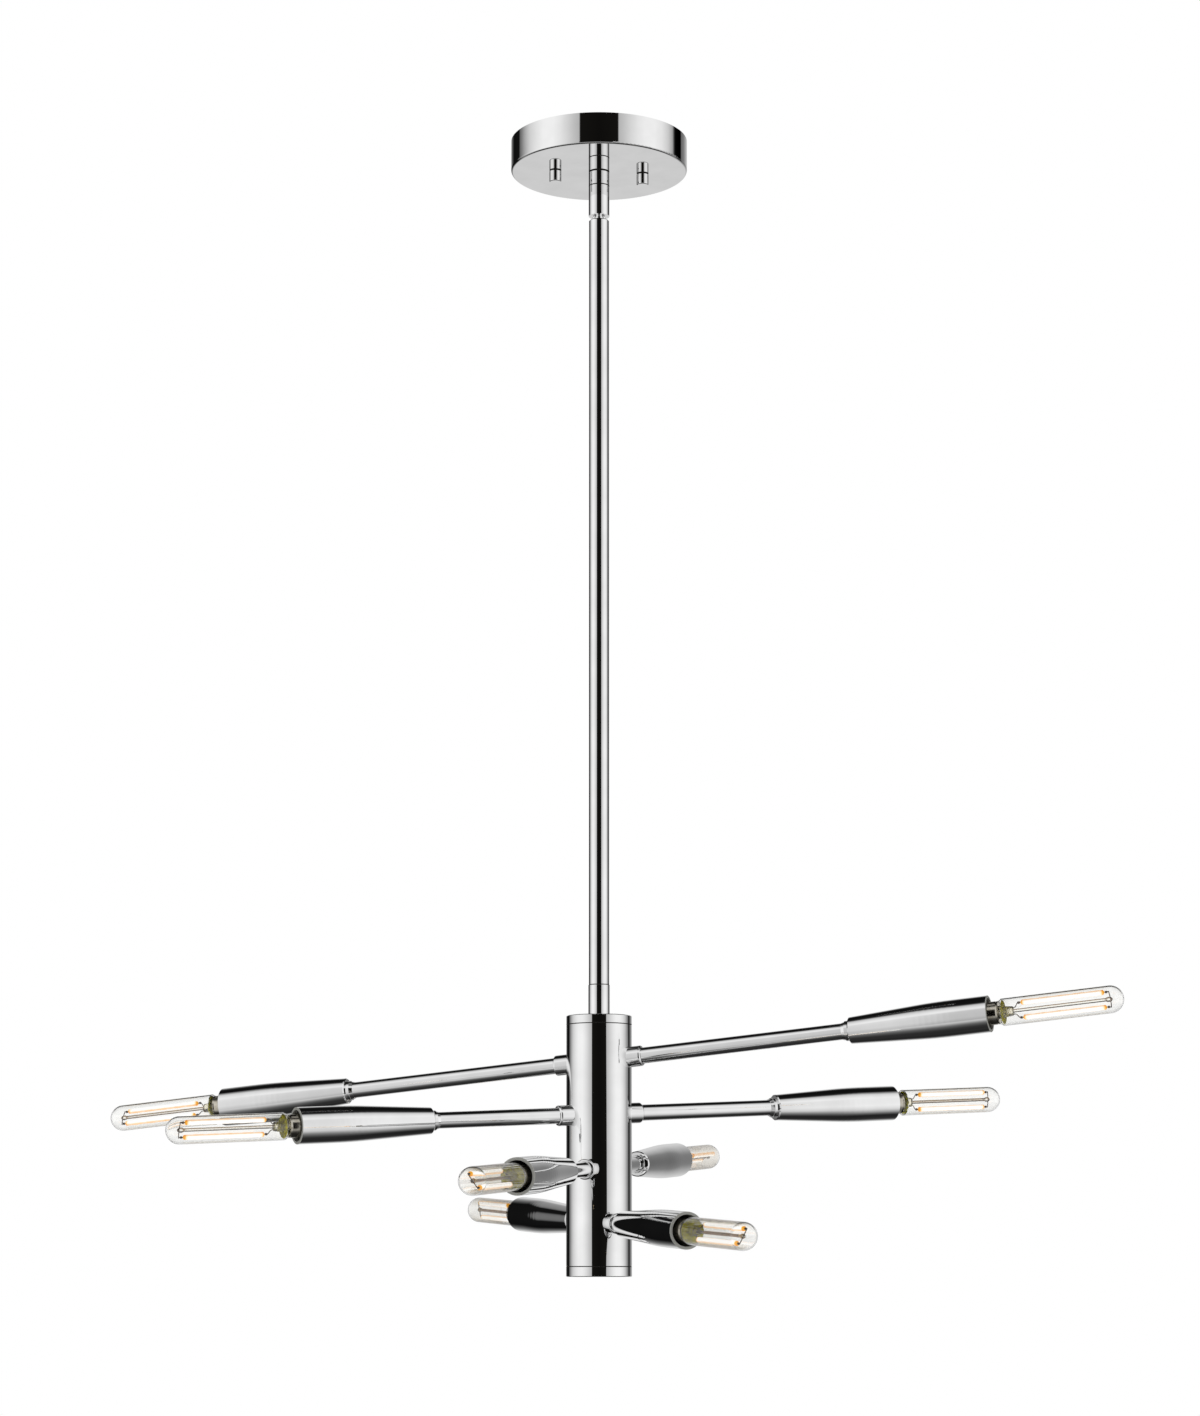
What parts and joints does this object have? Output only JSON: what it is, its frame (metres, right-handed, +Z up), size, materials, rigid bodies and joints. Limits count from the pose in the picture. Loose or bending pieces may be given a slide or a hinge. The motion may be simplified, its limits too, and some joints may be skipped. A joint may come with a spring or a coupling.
{
  "type": "sputnik chandelier",
  "caption": "Chrome sputnik chandelier: round canopy, straight rod, tubular column and tiers of slightly sloped arms that end in tapered socket cups with clear tubular bulbs.",
  "frame": {"origin": "centre of the ceiling plane, midway between the two slots of the mounting strap", "axes": "+Z up into the ceiling, X along the mounting strap"},
  "size_m": [0.7485, 0.5396, 0.8993],
  "materials": {
    "polished_chrome": "polished chrome plate over steel and brass",
    "zinc_steel": "zinc plated sheet steel",
    "green_screw": "green passivated screw",
    "brass": "plain turned brass",
    "socket_black": "black moulded phenolic",
    "bulb_nickel": "nickel plated bulb collar and screw base",
    "clear_glass": "clear blown glass",
    "filament": "coated filament sticks on wires and a pressed glass stem"
  },
  "bodies": {
    "ceiling": {"mounting_strap": "zinc_steel", "strap_studs": "zinc_steel", "ground_screw": "green_screw", "canopy": "polished_chrome", "canopy_nut": "brass", "swivel_collar": "polished_chrome", "swivel_socket": "polished_chrome"},
    "knob_left": {"canopy_knob_left": "polished_chrome"},
    "knob_right": {"canopy_knob_right": "polished_chrome"},
    "swivel_seat": {"swivel_seat": "brass"},
    "fixture": {"swivel_ball": "polished_chrome", "downrod": "polished_chrome", "rod_coupler": "polished_chrome", "column_nipple": "brass", "column_top_cap": "polished_chrome", "column_tube": "polished_chrome", "column_bottom_cap": "polished_chrome", "arm_ferrules": "polished_chrome", "arm_nuts": "brass", "lamp_sockets": "socket_black", "arm_1_high": "polished_chrome", "cup_1_high": "polished_chrome", "arm_1_low": "polished_chrome", "cup_1_low": "polished_chrome", "arm_2_high": "polished_chrome", "cup_2_high": "polished_chrome", "arm_2_low": "polished_chrome", "cup_2_low": "polished_chrome", "arm_3_high": "polished_chrome", "cup_3_high": "polished_chrome", "arm_3_low": "polished_chrome", "cup_3_low": "polished_chrome", "arm_4_high": "polished_chrome", "cup_4_high": "polished_chrome", "arm_4_low": "polished_chrome", "cup_4_low": "polished_chrome"},
    "bulb_1_high": {"bulb_1_high_base": "bulb_nickel", "bulb_1_high_glass": "clear_glass", "bulb_1_high_filaments": "filament"},
    "bulb_1_low": {"bulb_1_low_base": "bulb_nickel", "bulb_1_low_glass": "clear_glass", "bulb_1_low_filaments": "filament"},
    "bulb_2_high": {"bulb_2_high_base": "bulb_nickel", "bulb_2_high_glass": "clear_glass", "bulb_2_high_filaments": "filament"},
    "bulb_2_low": {"bulb_2_low_base": "bulb_nickel", "bulb_2_low_glass": "clear_glass", "bulb_2_low_filaments": "filament"},
    "bulb_3_high": {"bulb_3_high_base": "bulb_nickel", "bulb_3_high_glass": "clear_glass", "bulb_3_high_filaments": "filament"},
    "bulb_3_low": {"bulb_3_low_base": "bulb_nickel", "bulb_3_low_glass": "clear_glass", "bulb_3_low_filaments": "filament"},
    "bulb_4_high": {"bulb_4_high_base": "bulb_nickel", "bulb_4_high_glass": "clear_glass", "bulb_4_high_filaments": "filament"},
    "bulb_4_low": {"bulb_4_low_base": "bulb_nickel", "bulb_4_low_glass": "clear_glass", "bulb_4_low_filaments": "filament"}
  },
  "joints": [
    {"name": "swivel_turn", "type": "hinge", "parent": "ceiling", "child": "swivel_seat", "pos_m": [0, 0, -0.0524], "axis": [0, 0, 1], "range_deg": [-180, 180]},
    {"name": "swivel_tilt", "type": "hinge", "parent": "swivel_seat", "child": "fixture", "pos_m": [0, 0, -0.0524], "axis": [0, 1, 0], "range_deg": [-14, 14]},
    {"name": "knob_left_turn", "type": "hinge", "parent": "ceiling", "child": "knob_left", "pos_m": [-0.03492, 0, -0.0336], "axis": [0, 0, -1], "range_deg": [0, 1800]},
    {"name": "knob_right_turn", "type": "hinge", "parent": "ceiling", "child": "knob_right", "pos_m": [0.03492, 0, -0.0336], "axis": [0, 0, -1], "range_deg": [0, 1800]},
    {"name": "bulb_1_high_turn", "type": "hinge", "parent": "fixture", "child": "bulb_1_high", "pos_m": [0.27789, -0.13254, -0.70425], "axis": [0.8987, -0.4287, 0.0924], "range_deg": [0, 1080]},
    {"name": "bulb_1_low_turn", "type": "hinge", "parent": "fixture", "child": "bulb_1_low", "pos_m": [-0.28696, 0.13687, -0.7623], "axis": [-0.8987, 0.4287, -0.0924], "range_deg": [0, 1080]},
    {"name": "bulb_2_high_turn", "type": "hinge", "parent": "fixture", "child": "bulb_2_high", "pos_m": [0.24768, 0.0848, -0.7596], "axis": [0.9446, 0.3234, 0.0558], "range_deg": [0, 1080]},
    {"name": "bulb_2_low_turn", "type": "hinge", "parent": "fixture", "child": "bulb_2_low", "pos_m": [-0.23511, -0.0805, -0.78813], "axis": [-0.9446, -0.3234, -0.0558], "range_deg": [0, 1080]},
    {"name": "bulb_3_high_turn", "type": "hinge", "parent": "fixture", "child": "bulb_3_high", "pos_m": [0.08633, 0.18513, -0.80245], "axis": [0.4217, 0.9044, 0.0645], "range_deg": [0, 1080]},
    {"name": "bulb_3_low_turn", "type": "hinge", "parent": "fixture", "child": "bulb_3_low", "pos_m": [-0.07916, -0.16976, -0.82777], "axis": [-0.4217, -0.9044, -0.0645], "range_deg": [0, 1080]},
    {"name": "bulb_4_high_turn", "type": "hinge", "parent": "fixture", "child": "bulb_4_high", "pos_m": [-0.04581, 0.14268, -0.84845], "axis": [-0.3052, 0.9506, 0.0576], "range_deg": [0, 1080]},
    {"name": "bulb_4_low_turn", "type": "hinge", "parent": "fixture", "child": "bulb_4_low", "pos_m": [0.0473, -0.14733, -0.86601], "axis": [0.3052, -0.9506, -0.0576], "range_deg": [0, 1080]}
  ]
}
